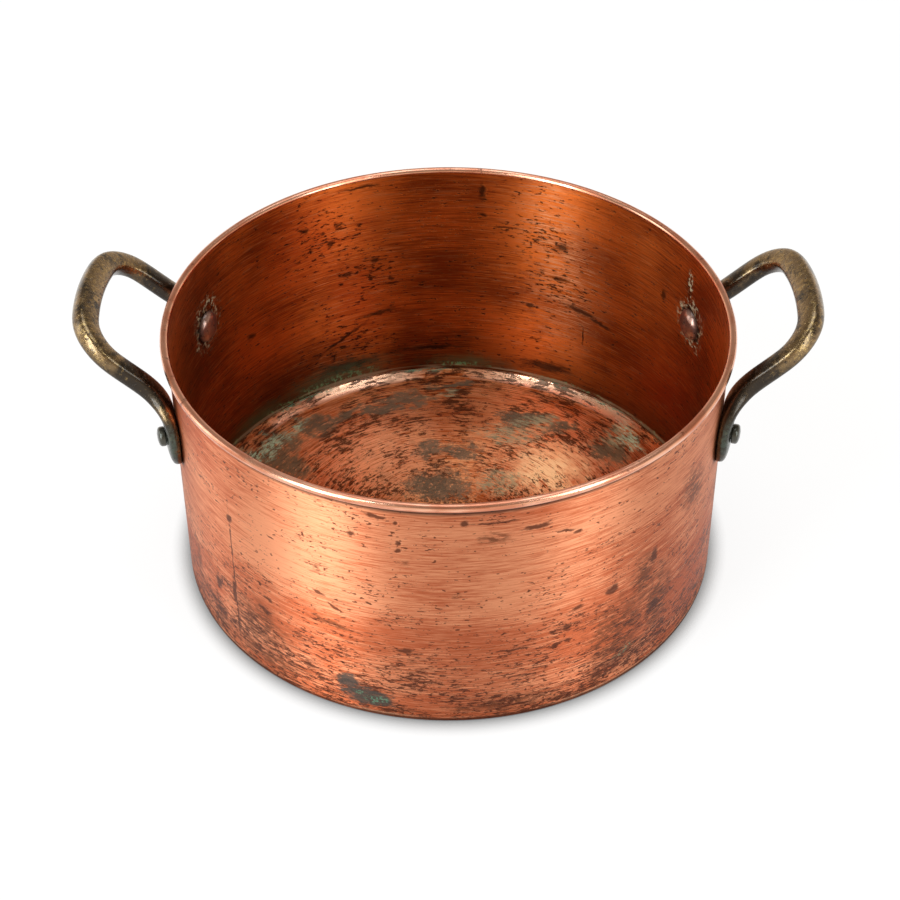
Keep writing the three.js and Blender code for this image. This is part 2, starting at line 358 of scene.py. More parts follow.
def make_handle_half():
    """Extrudes, turns and scales one ring of faces from section to section."""
    sections = handle_sections()
    place, run, way, width, thick = sections[0]
    old_turn = section_turn(run, way)
    start_fresh()
    bpy.ops.mesh.primitive_circle_add(vertices=SECTION_STEPS, radius=1, fill_type="NGON", location=(0, 0, 0))
    bar = bpy.context.object
    for vertex in bar.data.vertices:
        x, y = vertex.co.x, vertex.co.y
        vertex.co.x = math.copysign(abs(x) ** SECTION_POWER, x) * width * MM
        vertex.co.y = math.copysign(abs(y) ** SECTION_POWER, y) * thick * MM
    bar.matrix_world = Matrix.Translation(place * MM) @ old_turn.to_4x4()
    settle(bar, "handle")
    cursor = bpy.context.scene.cursor
    cursor.rotation_mode = "QUATERNION"
    bpy.ops.object.mode_set(mode="EDIT")
    bpy.ops.mesh.select_mode(type="FACE")
    bpy.ops.mesh.select_all(action="SELECT")
    for new_place, run, way, new_width, new_thick in sections[1:]:
        new_turn = section_turn(run, way)
        step = (new_place - place) * MM
        bpy.ops.mesh.extrude_region_move(TRANSFORM_OT_translate={"value": step})
        axis, angle = (new_turn @ old_turn.transposed()).to_quaternion().to_axis_angle()
        if angle > 1e-6:
            cursor.rotation_quaternion = axis.to_track_quat("Z", "Y")
            bpy.ops.transform.rotate(
                value=-angle, orient_axis="Z", orient_type="CURSOR", center_override=new_place * MM
            )
        cursor.rotation_quaternion = new_turn.to_quaternion()
        bpy.ops.transform.resize(
            value=(new_width / width, new_thick / thick, 1),
            orient_type="CURSOR",
            center_override=new_place * MM,
        )
        place, old_turn, width, thick = new_place, new_turn, new_width, new_thick
    bpy.ops.mesh.delete(type="ONLY_FACE")
    return settle(bar, "handle")


def face_outward():
    """Turns all the faces of the active piece outward."""
    bpy.ops.object.mode_set(mode="EDIT")
    bpy.ops.mesh.select_all(action="SELECT")
    bpy.ops.mesh.normals_make_consistent(inside=False)
    bpy.ops.object.mode_set(mode="OBJECT")


def make_handle(name, side):
    """Whole handle: both halves, smoothed, cut to the wall's curve and spot-faced for the rivets."""
    bar = make_handle_half()
    start_fresh()
    bpy.context.view_layer.objects.active = bar
    mirror = bar.modifiers.new("other_half", "MIRROR")
    mirror.use_axis = (False, True, False)
    mirror.use_clip = True
    mirror.merge_threshold = 0.0002
    bpy.ops.object.modifier_apply(modifier=mirror.name)
    smooth = bar.modifiers.new("smooth", "SUBSURF")
    smooth.levels = smooth.render_levels = SMOOTH_LEVELS
    bpy.ops.object.modifier_apply(modifier=smooth.name)
    face_outward()

    bpy.ops.mesh.primitive_cylinder_add(
        vertices=TURN_STEPS, radius=(WALL_OUTER + GAP) * MM, depth=RIM_TOP * MM,
        location=(0, 0, RIM_TOP * MM / 2),
    )
    cut_away(bar, bpy.context.object)
    for angle in (RIVET_ANGLE, -RIVET_ANGLE):
        start_fresh()
        bpy.ops.mesh.primitive_cylinder_add(
            vertices=RIVET_STEPS, radius=(OUTER_HEAD_RADIUS + SPOT_MARGIN) * MM,
            depth=SPOT_CUTTER * MM, location=(0, 0, (HEAD_SEAT + SPOT_CUTTER / 2) * MM),
        )
        seat = settle(bpy.context.object, "seat")
        cut_away(bar, lay_outward(seat, angle, RIVET_HEIGHT))
    turn = Matrix.Rotation(math.radians(HANDLE_TURN), 4, "Z")
    if side < 0:
        turn = Matrix.Scale(-1, 4, (1, 0, 0)) @ turn
    bar.matrix_world = turn
    start_fresh()
    settle(bar, name)
    if side < 0:
        face_outward()
    bpy.ops.object.shade_smooth_by_angle(angle=math.radians(HANDLE_CREASE))
    return bar


# Colours and nodes
def linear(hex_colour):
    """An sRGB hex value as linear red, green, blue and alpha."""
    parts = [int(hex_colour[i:i + 2], 16) / 255 for i in (0, 2, 4)]
    return [c / 12.92 if c <= 0.04045 else ((c + 0.055) / 1.055) ** 2.4 for c in parts] + [1]


def add(tree, kind, sockets=None, out=0, **settings):
    """Adds a node with its settings and input values or links, and returns one of its outputs."""
    made = tree.nodes.new("ShaderNode" + kind)
    for key, value in settings.items():
        setattr(made, key, value)
    for key, value in (sockets or {}).items():
        if isinstance(value, bpy.types.NodeSocket):
            tree.links.new(value, made.inputs[key])
        else:
            made.inputs[key].default_value = value
    return made.outputs[out] if made.outputs else made


def new_material(name):
    """A new material, and its node tree with nothing in it."""
    material = bpy.data.materials.new(name)
    material.use_nodes = True
    material.node_tree.nodes.clear()
    return material, material.node_tree


def in_millimetres(tree):
    """Object coordinates in millimetres, and their three parts."""
    place = add(tree, "TexCoord", out="Object")
    place = add(tree, "VectorMath", {0: place, 1: (1000, 1000, 1000)}, operation="MULTIPLY")
    parts = tree.nodes.new("ShaderNodeSeparateXYZ")
    tree.links.new(place, parts.inputs[0])
    return place, *parts.outputs


def from_axis(tree, x, y):
    """Millimetres across from the pot's axis, as a flat vector and as a distance."""
    flat = add(tree, "CombineXYZ", {0: x, 1: y})
    return flat, add(tree, "VectorMath", {0: flat}, "Value", operation="LENGTH")


def laid_flat(tree, x, y, z, radius):
    """The sheet laid flat: millimetres round the pot from the middle, and height."""
    angle = add(tree, "Math", {0: x, 1: y}, operation="ARCTAN2")
    along = add(tree, "Math", {0: angle, 1: radius}, operation="MULTIPLY")
    return add(tree, "CombineXYZ", {0: along, 1: z})


def on_sheet(spots, radius):
    """Marks given by azimuth in degrees, moved to the sheet laid flat."""
    return [(math.radians(azimuth) * radius, *rest) for azimuth, *rest in spots]


def wandering(tree, place, amount, size):
    """The same coordinates pushed about by noise, so that the outlines of marks are ragged."""
    noise = add(tree, "TexNoise", {"Vector": place, "Scale": 1 / size, "Detail": 4}, "Color")
    push = add(tree, "VectorMath", {0: noise, 1: (0.5, 0.5, 0.5)}, operation="SUBTRACT")
    push = add(tree, "VectorMath", {0: push, 1: (amount, amount, amount)}, operation="MULTIPLY")
    return add(tree, "VectorMath", {0: place, 1: push}, operation="ADD")


def grain(tree, place, sizes, detail=3, roughness=0.55, shift=0):
    """Noise whose grains have the given sizes in millimetres along the three coordinates. The
    shift takes each pattern from another place in the noise, so that no two are alike."""
    scaled = add(tree, "Mapping", {
        "Vector": place,
        "Location": (shift, shift * 0.7, shift * 1.3),
        "Scale": [1 / size for size in sizes],
    })
    return add(tree, "TexNoise", {
        "Vector": scaled, "Scale": 1, "Detail": detail, "Roughness": roughness,
    })


def mixed(tree, *patterns):
    """The sum of several patterns, each given with its share."""
    total = 0.0
    for pattern, share in patterns:
        total = add(tree, "Math", {0: pattern, 1: share, 2: total}, operation="MULTIPLY_ADD")
    return total


def patches(tree, noise, low, high, *crowding):
    """Mask of the places where noise is high; each (pattern, share) gathers more of them there."""
    gathered = mixed(tree, (noise, 1.0), *crowding) if crowding else noise
    return add(tree, "MapRange", {0: gathered, 1: low, 2: high}, interpolation_type="SMOOTHSTEP")


FAR = 10.0  # a distance outside all ovals, which reach to 1
NO_DEPTH = 1e6  # so large a scale that depth doesn't count
FRAYING = 2.3  # how far the noise moves an oval's outline


def marks(tree, place, spots, fray, edge=0.35):
    """Mask of frayed ovals: (x, y, half length, half height) and, for some, a turn in degrees."""
    near = FAR
    for x, y, length, height, *turn in spots:
        oval = add(tree, "Mapping", {
            "Vector": place,
            "Location": (x, y, 0),
            "Rotation": (0, 0, math.radians(turn[0]) if turn else 0),
            "Scale": (length, height, NO_DEPTH),
        }, vector_type="TEXTURE")
        span = add(tree, "VectorMath", {0: oval}, "Value", operation="LENGTH")
        near = add(tree, "Math", {0: span, 1: near}, operation="MINIMUM")
    frayed = mixed(tree, (near, 1.0), (fray, FRAYING), (1.0, -FRAYING / 2))
    return add(tree, "MapRange", {0: frayed, 1: 1 + edge, 2: 1 - edge})


def lay_over(tree, under, layer, *masks):
    """Covers a finish (colour, metallic, roughness) with another one where all the masks are 1.
    A number among the masks is the cover's strength."""
    where = masks[0]
    for mask in masks[1:]:
        where = add(tree, "Math", {0: where, 1: mask}, operation="MULTIPLY")
    colour = add(tree, "Mix", {0: where, 6: under[0], 7: layer[0]}, 2, data_type="RGBA")
    metallic = add(tree, "Mix", {0: where, 2: under[1], 3: layer[1]})
    roughness = add(tree, "Mix", {0: where, 2: under[2], 3: layer[2]})
    return colour, metallic, roughness


def finished(tree, finish, height, depth, brushed=0.0, film=None):
    """The shader. Brushing runs round the pot, so highlights stretch across it. Film (weight,
    roughness) is the thin grease and dried polish that puts a white sheen over the metal's own."""
    sockets = dict(zip(("Base Color", "Metallic", "Roughness"), finish))
    sockets["Normal"] = add(tree, "Bump", {"Height": height, "Strength": 1.0, "Distance": depth * MM})
    if brushed:
        sockets["Anisotropic"] = brushed
        sockets["Anisotropic Rotation"] = 0.25
        sockets["Tangent"] = add(tree, "Tangent", direction_type="RADIAL", axis="Z")
    if film:
        sockets["Coat Weight"], sockets["Coat Roughness"] = film
    add(tree, "OutputMaterial", {"Surface": add(tree, "BsdfPrincipled", sockets)})


# Finishes: colour, metallic, roughness. The first ones are shared by several parts of the pot
PIT = (linear("55230B"), 0.92, 0.5)
INSIDE_PIT = (linear("220F06"), 0.95, 0.5)
RED_TARNISH = (linear("A24E29"), 0.95, 0.5)
BROWN_TARNISH = (linear("6B381C"), 0.95, 0.5)
DARK_CRUST = (linear("362C20"), 0.2, 0.65)
GREY_CRUST = (linear("5C472E"), 0.1, 0.65)
VERDIGRIS = (linear("5C8B6C"), 0.0, 0.85)
PALE_VERDIGRIS = (linear("A3B492"), 0.0, 0.85)
RESIDUE = (linear("948A66"), 0.0, 0.8)

# Outside
SCOURED = (linear("EA9B70"), 1.0, 0.48)
SCOURED_DEEP = (linear("C4633A"), 1.0, 0.56)
TANNED = (linear("A9502A"), 1.0, 0.55)
PAINTED_SEAM_SHADE = (linear("2A170D"), 0.8, 0.55)
WORN_LINE_AND_HIGHLIGHT = (linear("EDAE86"), 1.0, 0.4)
# Rim
RIM_BRIGHT = (linear("F4B696"), 1.0, 0.18)
RIM_DEEP = (linear("D07E5A"), 1.0, 0.3)
RIM_DULL_AND_SHADE = (linear("B97258"), 0.95, 0.45)
# Inside
STEAMED = (linear("D66A2A"), 1.0, 0.42)
STEAMED_DEEP = (linear("8A3813"), 1.0, 0.52)
INSIDE_BROWN = (linear("5C2C12"), 0.95, 0.5)
HEAT_RED = (linear("C2471B"), 1.0, 0.46)
NICK = (linear("E09A66"), 1.0, 0.4)
INSIDE_PAINTED_HIGHLIGHT = (linear("F0A470"), 1.0, 0.34)
DRIED_FOOD = (linear("B4AA8A"), 0.0, 0.7)
GREEN_FILM = (linear("3A4A26"), 0.3, 0.6)
GREEN_SALTS = (linear("5F8352"), 0.0, 0.85)
JOINT_FOOD = (linear("A98A68"), 0.3, 0.6)
# Floor and underside
FLOOR_BRUSHED = (linear("FCAA72"), 1.0, 0.4)
FLOOR_DEEP = (linear("B4521F"), 1.0, 0.5)
COVE_HIGHLIGHT_FINISH = (linear("FFCBA8"), 1.0, 0.24)
FLOOR_HEAT = (linear("A63F14"), 1.0, 0.48)
FLOOR_SCOURED_AND_HIGHLIGHT = (linear("F7A878"), 0.5, 0.4)
FLOOR_PAINTED_HIGHLIGHT = (linear("FFD39C"), 0.12, 0.4)
UNDERSIDE = (linear("B9683F"), 1.0, 0.5)
SOOT = (linear("5A3828"), 0.7, 0.6)
SCUFF = (linear("E0A27C"), 1.0, 0.4)
# Handles
BRASS_DARK = (linear("352B20"), 0.9, 0.19)
BRASS_BROWN = (linear("7F6748"), 0.95, 0.2)
BRASS_STAIN = (linear("2A2118"), 0.9, 0.24)
BRASS_GOLD = (linear("BA9A62"), 1.0, 0.2)
BRASS_BLOOM = (linear("4C5A4C"), 0.5, 0.42)
BRASS_UNDERSIDE_SHADE = (linear("221A12"), 0.9, 0.3)
BRASS_HOLE = (linear("241E17"), 0.6, 0.5)
# Rivets and wire
RIVET_COPPER = (linear("A67E6E"), 0.95, 0.3)
RIVET_DIRT = (linear("4E3026"), 0.8, 0.5)
SEAT_DIRT_AND_SHADE = (linear("2C201A"), 0.6, 0.6)
OUTER_HEAD = (linear("3D3E34"), 0.8, 0.34)
IRON = (linear("6E6A66"), 1.0, 0.4)
RUST = (linear("6B3F28"), 0.1, 0.8)

# Marks on the side: (azimuth in degrees from the front, height, half length, half height, turn),
# in millimetres and degrees
SIDE_PITS = (
    (-48.6, 89, 1.8, 2.8), (-48.9, 52, 0.5, 38), (-49.3, 41.9, 1.5, 8), (-48.8, 25, 0.9, 11),
    (-38.9, 52.5, 3.4, 1.3, -8), (-40.1, 43.6, 4.2, 1.4, -8), (-18.5, 115.5, 1.8, 1.3),
    (-26.2, 72.6, 3.2, 1.0, -10), (-22.8, 66, 3.4, 0.8, -25), (-8.7, 46.4, 3.4, 1.8),
    (-14.3, 128.4, 4.5, 1.1, -8), (-10, 125.8, 1.1, 1.1), (-9.5, 114.1, 1.2, 1.3),
    (-9.5, 109.5, 1.5, 1.1), (2.9, 127, 1.9, 2.0), (8, 126, 9.5, 0.7), (16.5, 120.3, 6.2, 1.3, 4),
    (22.6, 113.5, 4.5, 0.8, -6), (25, 111, 1.8, 1.1), (33.9, 64.8, 3.1, 3.0), (44.8, 70.4, 2.7, 4.0),
    (23.4, 51.4, 2.0, 1.7), (21.1, 42.2, 1.8, 1.4), (23.9, 43.1, 1.7, 1.3), (25.4, 62, 3.8, 1.6, 12),
    (12.4, 45.1, 7.5, 0.6), (46.5, 37, 2.5, 2.5), (-29, 21.2, 4.5, 1.3, -12),
    (-55.7, 36, 2.6, 4.5), (-26.6, 15, 2, 1.5),
)
SIDE_TANNED = ((54, 62, 62, 80), (8, 22, 75, 24), (-64, 30, 30, 36), (150, 60, 90, 80))
SIDE_SMEARS = (
    (-24.4, 55, 10, 1.6, -5), (35.2, 34, 15, 20), (47, 40, 9, 17), (31, 9, 4.5, 7), (2.4, 8.6, 5.5, 2.0),
    (21.6, 7, 3.5, 2.2), (8.5, 116.5, 6, 3), (58, 92, 9, 12, 30), (-65.7, 32, 3, 11),
    (1.4, 83.2, 1.8, 1.8), (-8.5, 102.4, 2.4, 1.5), (40, 17, 9, 4, 10), (-56, 14, 8, 6, -12),
    (-26.3, 87.6, 2.0, 2.2), (79, 64, 9, 15, -25), (-79, 70, 8, 15, 20), (-42, 32, 15, 11, -10),
    (42, 60, 6, 14), (-40, 12, 18, 4), (12, 10, 22, 4),
)
SIDE_CRUST = ((-16.6, 11.6, 12.5, 6.0, -6), (-20.6, 18.6, 5.0, 5.2))
SIDE_VERDIGRIS = ((-15.0, 10.6, 5.6, 2.2, 4), (-18.6, 13.6, 2.6, 1.2), (38, 19, 5.5, 1.8, 10))


def brushed_copper_side():
    """Bare sheet copper scoured round the pot: fine level streaks, pits and heat tarnish."""
    material, tree = new_material("brushed_copper_side")
    place, x, y, z = in_millimetres(tree)
    front = add(tree, "Math", {0: y, 1: -1.0}, operation="MULTIPLY")
    ragged = wandering(tree, laid_flat(tree, x, front, z, WALL_OUTER), 3.0, 4.5)

    # The real scratches are under 0.1 mm wide: drawn 0.7 mm wide, so that they show
    fine = grain(tree, place, (15, 15, 0.7), 5, 0.68)
    coarse = grain(tree, place, (45, 45, 3.5), 3, 0.6, 7)
    broad = grain(tree, place, (75, 75, 40), 2, 0.5, 3)
    crowd = grain(tree, place, (34, 34, 13), 3, 0.6, 23)
    fray = grain(tree, place, (5, 5, 2.2), 5, 0.65, 29)
    # How near a place is to the foot, which has more of everything. Its share in the tone paints the copper
    # deeper towards the foot, as painted shade at the bottom
    low = add(tree, "MapRange", {0: z, 1: 85, 2: 4})
    tone = mixed(tree, (fine, 0.8), (coarse, 0.2), (broad, 0.55), (low, 0.1))
    deeper = patches(tree, tone, 0.66, 0.94)
    finish = lay_over(tree, SCOURED, SCOURED_DEEP, deeper)
    tanned = marks(tree, ragged, on_sheet(SIDE_TANNED, WALL_OUTER), fray, 0.95)
    finish = lay_over(tree, finish, TANNED, tanned, patches(tree, fine, 0.3, 0.66), 0.5)
    # Tarnish lies in long patches, thicker near the foot
    tarnish = patches(tree, grain(tree, place, (26, 26, 9), 4, 0.65, 12), 0.58, 0.76, (low, 0.05))
    finish = lay_over(tree, finish, RED_TARNISH, tarnish, 0.4)
    smears = marks(tree, ragged, on_sheet(SIDE_SMEARS, WALL_OUTER), fray, 0.5)
    mottle = patches(tree, grain(tree, place, (6, 6, 1.8), 6, 0.72, 5), 0.41, 0.52)
    finish = lay_over(tree, finish, BROWN_TARNISH, smears, mottle, 0.8)
    # Dark specks, and pits and scratches drawn out along the brushing
    specks = grain(tree, place, (2.6, 2.6, 1.3), 1, 0.4, 19)
    specks = patches(tree, specks, 0.82, 0.87, (low, 0.08), (crowd, 0.26))
    finish = lay_over(tree, finish, PIT, specks, 0.85)
    pits = grain(tree, place, (5.5, 5.5, 1.3), 6, 0.76, 17)
    pits = patches(tree, pits, 0.775, 0.81, (low, 0.12), (crowd, 0.3))
    finish = lay_over(tree, finish, PIT, pits, 0.9)
    streaks = grain(tree, place, (22, 22, 0.9), 5, 0.7, 27)
    streaks = patches(tree, streaks, 0.74, 0.8, (low, 0.12), (crowd, 0.2))
    finish = lay_over(tree, finish, PIT, streaks, 0.65)
    spots = marks(tree, ragged, on_sheet(SIDE_PITS, WALL_OUTER), fray, 0.3)
    finish = lay_over(tree, finish, PIT, spots, 0.85)
    # One burnt-on spill near the foot, gone green in its middle
    crust = marks(tree, ragged, on_sheet(SIDE_CRUST, WALL_OUTER), fray, 0.2)
    finish = lay_over(tree, finish, DARK_CRUST, crust, 0.9)
    salts = marks(tree, ragged, on_sheet(SIDE_VERDIGRIS, WALL_OUTER), fray, 0.4)
    grit = patches(tree, grain(tree, place, (1.9, 1.9, 1.5), 4, 0.75, 31), 0.48, 0.57)
    finish = lay_over(tree, finish, VERDIGRIS, salts, grit, 0.75)
    # Painted shade: a dark line under the rolled rim. The burnt foot, below a light line that is partly wear
    # and partly a painted highlight
    seam_shade = add(tree, "MapRange", {0: z, 1: 131.0, 2: 132.8})
    finish = lay_over(tree, finish, PAINTED_SEAM_SHADE, seam_shade, 0.85)
    worn = patches(tree, coarse, 0.45, 0.6)
    above = add(tree, "MapRange", {0: z, 1: 3.4, 2: 2.8})
    finish = lay_over(tree, finish, WORN_LINE_AND_HIGHLIGHT, above, worn, 0.4)
    burnt = add(tree, "MapRange", {0: z, 1: 2.6, 2: 1.8})
    finish = lay_over(tree, finish, PIT, burnt, 0.85)
    relief = mixed(tree, (fine, 0.5), (pits, -1.0), (streaks, -0.5), (spots, -1.0), (specks, -0.4))
    finished(tree, finish, relief, 0.085, brushed=0.9, film=(0.22, 0.4))
    return material


def polished_copper_rim():
    """The rolled rim, rubbed by lids and cloths: paler and smoother, with a rougher band on top that is
    painted darker as painted shade.
    """
    material, tree = new_material("polished_copper_rim")
    place, _, _, z = in_millimetres(tree)
    # Polishing scratches, drawn 0.6 mm wide so that they show
    fine = grain(tree, place, (30, 30, 0.6), 4, 0.6)
    stains = grain(tree, place, (20, 20, 12), 3, 0.6, 9)
    deeper = patches(tree, fine, 0.85, 1.2, (stains, 1.0))
    finish = lay_over(tree, RIM_BRIGHT, RIM_DEEP, deeper)
    # Painted shade: the top of the bead is painted darker and made rougher, and a dark line is painted where
    # the roll ends
    top_shade_band = add(tree, "MapRange", {0: z, 1: 138.3, 2: 138.8})
    finish = lay_over(tree, finish, RIM_DULL_AND_SHADE, top_shade_band, 0.35)
    spots = patches(tree, grain(tree, place, (5, 5, 5), 4, 0.65, 15), 0.62, 0.7)
    finish = lay_over(tree, finish, PIT, spots, 0.7)
    # Painted shade under the bead, where the roll ends
    foot = add(tree, "MapRange", {0: z, 1: 136.2, 2: 135.2})
    finish = lay_over(tree, finish, PAINTED_SEAM_SHADE, foot, 0.85)
    finished(tree, finish, fine, 0.02, brushed=0.5, film=(0.5, 0.2))
    return material


# Marks on the inside: azimuth in degrees from the back, then as on the side
INSIDE_PITS = (
    (-20.2, 133.3, 10, 0.8), (-34.4, 115.4, 1.8, 1.5), (-28.2, 102.4, 1.8, 1.6), (-33.3, 101.6, 1.2, 1.2),
    (-30, 110, 1.6, 1.3), (-26, 112.5, 2.0, 1.1), (-17.5, 84.9, 2.3, 1.7), (-13.7, 71, 1.6, 1.6),
    (-13.5, 67.6, 5, 0.7), (-24.4, 78.6, 3, 1.2), (-17.1, 48.2, 10, 1.3, 5), (-26.4, 36, 13, 1.0, 27),
    (-26, 16, 15, 3.6), (8, 125, 1.6, 5), (8.5, 110.9, 2.2, 1.2), (27.3, 98.3, 3.0, 2.4),
    (13.4, 103.9, 8, 0.7), (27.2, 77.1, 5, 1.3), (33, 60, 9, 1.5, -6), (38, 57, 7, 1.2, -10),
    (19.9, 54.6, 2.0, 1.5), (24.5, 14.3, 14, 2.6), (33.7, 43.1, 0.5, 5), (57, 98.8, 2.2, 3.2),
    (-52, 66, 3, 2), (-4, 20, 14, 1.4),
)
INSIDE_CROWDS = (
    (-31, 106, 16, 14), (-17, 76, 14, 14), (22, 100, 18, 9), (27, 72, 20, 10), (-25, 30, 22, 12),
)
INSIDE_RED = ((-31, 108, 22, 24), (-22, 62, 16, 22), (60, 40, 20, 22), (150, 80, 50, 40))
INSIDE_HIGHLIGHT_PATCHES = ((23, 112, 13, 20), (30, 74, 17, 28), (-108, 60, 20, 30))
INSIDE_SMEARS = ((-78, 88, 32, 55), (-38, 22, 34, 16), (80, 40, 30, 30), (-100, 40, 40, 40))
INSIDE_GREEN = ((-30, 11, 26, 6.5, 3), (4, 10, 18, 3.5), (-52, 9, 20, 5))
INSIDE_VERDIGRIS = (
    (-30, 8.2, 23, 3.2, 3), (-44, 6.5, 10, 2.0), (2, 7.5, 14, 1.6), (33, 6.2, 26, 0.8), (55, 6.0, 22, 1.2),
    (-66, 6, 16, 1.6), (140, 6, 40, 1.4), (-130, 6, 30, 1.2),
)
# Degrees from the middle of the sheet to a back rivet, and from that to its pair in front
RIVET_SIDE = 90 - HANDLE_TURN - math.degrees(RIVET_ANGLE)
RIVET_PAIR = 2 * math.degrees(RIVET_ANGLE)
INSIDE_HEAD_SHADE = (
    (RIVET_SIDE, 97.6, 9.2, 9.4), (-RIVET_SIDE, 97.6, 9.2, 9.4),
    (RIVET_SIDE + RIVET_PAIR, 97.6, 9.2, 9.4), (-RIVET_SIDE - RIVET_PAIR, 97.6, 9.2, 9.4),
)
INSIDE_RESIDUE = (
    (RIVET_SIDE, 97.4, 12.0, 13.5), (RIVET_SIDE - 1.6, 119, 2.6, 9), (-RIVET_SIDE, 98, 12.0, 14.0),
    (RIVET_SIDE + RIVET_PAIR, 97, 12, 13), (-RIVET_SIDE - RIVET_PAIR, 97, 12, 13),
)


def tarnished_copper_inside():
    """The same sheet inside, kept darker and redder by steam and food."""
    material, tree = new_material("tarnished_copper_inside")
    place, x, y, z = in_millimetres(tree)
    ragged = wandering(tree, laid_flat(tree, x, y, z, WALL_INNER), 3.5, 5)

    # The brushing is drawn 0.7 mm wide, as outside
    fine = grain(tree, place, (18, 18, 0.7), 5, 0.68, 41)
    coarse = grain(tree, place, (50, 50, 4), 3, 0.6, 43)
    broad = grain(tree, place, (50, 50, 35), 3, 0.5, 47)
    fray = grain(tree, place, (5, 5, 2.0), 5, 0.7, 51)
    tone = mixed(tree, (fine, 0.75), (coarse, 0.2), (broad, 0.65))
    deeper = patches(tree, tone, 0.64, 0.96)
    finish = lay_over(tree, STEAMED, STEAMED_DEEP, deeper)
    # Brown and red heat stains
    smears = marks(tree, ragged, on_sheet(INSIDE_SMEARS, WALL_INNER), fray, 0.8)
    finish = lay_over(tree, finish, INSIDE_BROWN, smears, 0.65)
    red = marks(tree, ragged, on_sheet(INSIDE_RED, WALL_INNER), fray, 0.9)
    finish = lay_over(tree, finish, HEAT_RED, red, 0.5)
    # Scratches that catch the light
    nicks = patches(tree, grain(tree, place, (16, 16, 0.7), 3, 0.6, 53), 0.56, 0.68)
    finish = lay_over(tree, finish, NICK, nicks, 0.28)
    # Painted highlights: pale patches on the wall
    highlight_patch = marks(tree, ragged, on_sheet(INSIDE_HIGHLIGHT_PATCHES, WALL_INNER), fray, 0.9)
    scoured = patches(tree, fine, 0.46, 0.6)
    finish = lay_over(tree, finish, INSIDE_PAINTED_HIGHLIGHT, highlight_patch, scoured, 0.7)
    # Pits in crowds, and dark scratches
    crowd = marks(tree, ragged, on_sheet(INSIDE_CROWDS, WALL_INNER), fray, 0.8)
    pits = grain(tree, place, (4.5, 4.5, 1.3), 4, 0.65, 59)
    pits = patches(tree, pits, 0.6, 0.65, (crowd, 0.075))
    finish = lay_over(tree, finish, INSIDE_PIT, pits, 0.85)
    streaks = patches(tree, grain(tree, place, (24, 24, 0.9), 5, 0.7, 57), 0.66, 0.75)
    finish = lay_over(tree, finish, INSIDE_PIT, streaks, 0.6)
    spots = marks(tree, ragged, on_sheet(INSIDE_PITS, WALL_INNER), fray, 0.45)
    finish = lay_over(tree, finish, INSIDE_PIT, spots, 0.8)
    # Food and flux dried in round the rivet heads and along the brazed joint, and a dark ring of painted
    # shade round each inner head
    grit = patches(tree, grain(tree, place, (2.2, 2.2, 2.6), 4, 0.7, 67), 0.48, 0.58)
    dried = marks(tree, ragged, on_sheet(INSIDE_RESIDUE, WALL_INNER), fray, 0.2)
    finish = lay_over(tree, finish, INSIDE_PIT, dried, 0.5)
    finish = lay_over(tree, finish, DRIED_FOOD, dried, grit, 0.75)
    # Painted shade: a dark ring on the wall round each inner head, where it meets the wall
    unfrayed = laid_flat(tree, x, y, z, WALL_INNER)
    head_shade = marks(tree, unfrayed, on_sheet(INSIDE_HEAD_SHADE, WALL_INNER), fray, 0.1)
    finish = lay_over(tree, finish, INSIDE_PIT, head_shade, 0.85)
    # It is painted darker towards the joint
    joint = add(tree, "MapRange", {0: z, 1: 36, 2: 3})
    finish = lay_over(tree, finish, INSIDE_PIT, joint, 0.75)
    mould = marks(tree, ragged, on_sheet(INSIDE_GREEN, WALL_INNER), fray, 0.8)
    finish = lay_over(tree, finish, GREEN_FILM, mould, 0.65)
    salts = marks(tree, ragged, on_sheet(INSIDE_VERDIGRIS, WALL_INNER), fray, 0.4)
    finish = lay_over(tree, finish, GREEN_SALTS, salts, grit, 0.8)
    # A pale line of dried food along the joint
    line = add(tree, "MapRange", {0: z, 1: 7.4, 2: 6.4})
    finish = lay_over(tree, finish, JOINT_FOOD, line, patches(tree, coarse, 0.44, 0.56), 0.6)
    relief = mixed(tree, (fine, 0.5), (pits, -1.0), (spots, -1.0))
    finished(tree, finish, relief, 0.1, brushed=0.9)
    return material


# Marks on the floor, in millimetres from its middle: (x, y, half length, half width, turn)
FLOOR_GREY = (
    (-98, 58, 12, 22, -20), (-12, 66, 9, 7), (-6, 34, 18, 13), (-26, 110, 16, 5), (63, 83, 8, 5),
    (7, 62, 11, 8), (2, 122, 14, 3), (-36, 100, 14, 5, 15), (42, 92, 14, 7, -12), (90, 60, 9, 12, 25),
    (-78, 84, 12, 8, 30), (-60, 96, 10, 5, 40), (-50, -40, 22, 12), (45, -50, 18, 20),
    (0, -95, 30, 10), (90, -20, 10, 24), (-92, 46, 12, 16, -20),
)
FLOOR_GREEN = (
    (34, 78, 17, 9, -10), (28, 38, 12, 9), (95, 76, 10, 9, 25), (-2, 114, 10, 2.5), (-70, -30, 14, 20),
    (48, 88, 10, 5, -20),
)
FLOOR_VERDIGRIS = (
    (-100, 68, 7, 11, -35), (-86, 84, 9, 4, 40), (-108, 60, 3, 10, -30), (100, 74, 3, 12, 35),
    (60, -80, 14, 8),
)
FLOOR_HIGHLIGHT_PATCH = ((53, 46, 17, 20, -30),)
FLOOR_RED = ((-2, 92, 46, 20), (-22, 60, 16, 22), (80, 40, 16, 20))
FLOOR_PALE = ((-46, 58, 34, 34), (54, 44, 30, 30), (75, 55, 22, 30), (20, -60, 50, 30))
COVE_HIGHLIGHT_SPOTS = (
    (-52, 119, 36, 8, 24), (-92, 91, 12, 5, 45), (46, 122, 28, 7, -20), (82, 102, 26, 7, -38),
    (90, -95, 40, 12, 45), (-90, -95, 40, 12, -45),
)
RING_STRETCH = 90  # millimetres, the radius where marks along the rings have their true length


